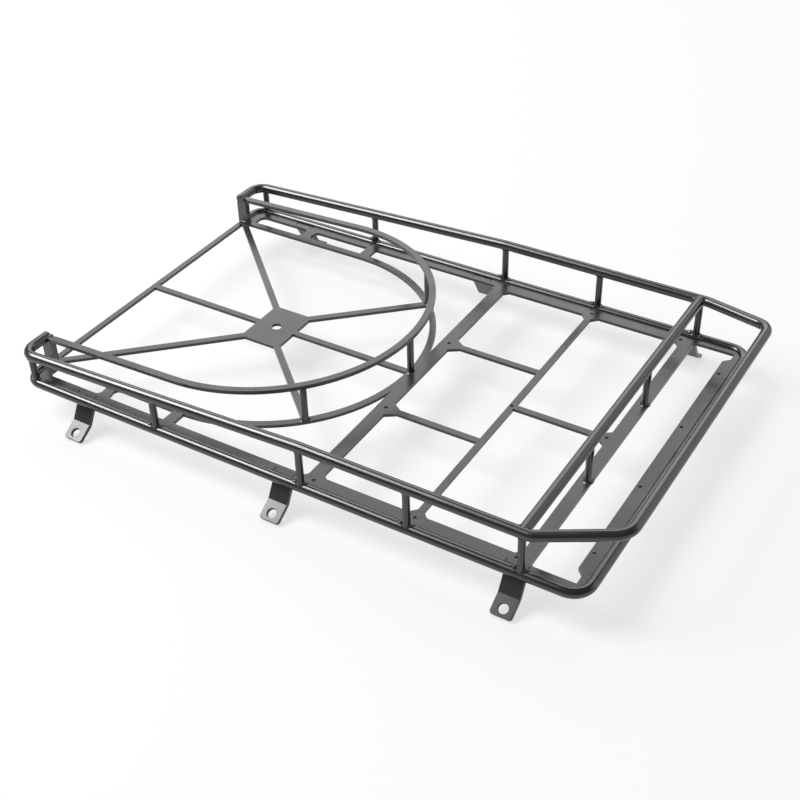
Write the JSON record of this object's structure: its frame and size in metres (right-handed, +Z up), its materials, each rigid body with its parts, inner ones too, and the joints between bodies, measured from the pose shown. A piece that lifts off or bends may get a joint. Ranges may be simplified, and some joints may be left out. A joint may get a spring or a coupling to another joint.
{
  "type": "roof cargo basket",
  "caption": "Welded wire roof basket for a one-tenth scale off-road vehicle, with a pierced sheet floor, a spare tyre hoop, low side rails and sheet feet.",
  "frame": {"origin": "middle of the surface that the six feet's tips stand on, under the middle of the basket's length and width", "axes": "+X to the vehicle's front, +Y to its left, +Z up"},
  "size_m": [0.184, 0.126, 0.0284],
  "materials": {
    "powder_coat": "satin black powder coat with a fine orange peel"
  },
  "bodies": {
    "root": {"corner_post_left": "powder_coat", "corner_post_right": "powder_coat", "crossbar": "powder_coat", "crossbar_post_left": "powder_coat", "crossbar_post_right": "powder_coat", "floor_plate": "powder_coat", "foot_front_left": "powder_coat", "foot_front_right": "powder_coat", "foot_middle_left": "powder_coat", "foot_middle_right": "powder_coat", "foot_rear_left": "powder_coat", "foot_rear_right": "powder_coat", "hoop_post_front": "powder_coat", "hoop_post_left": "powder_coat", "hoop_post_right": "powder_coat", "lower_rail": "powder_coat", "post_forward_left": "powder_coat", "post_forward_right": "powder_coat", "post_front_left": "powder_coat", "post_front_right": "powder_coat", "post_middle_left": "powder_coat", "post_middle_right": "powder_coat", "post_quarter_left": "powder_coat", "post_quarter_right": "powder_coat", "post_rear_left": "powder_coat", "post_rear_right": "powder_coat", "upper_hoop": "powder_coat", "upper_rail": "powder_coat"}
  },
  "joints": []
}
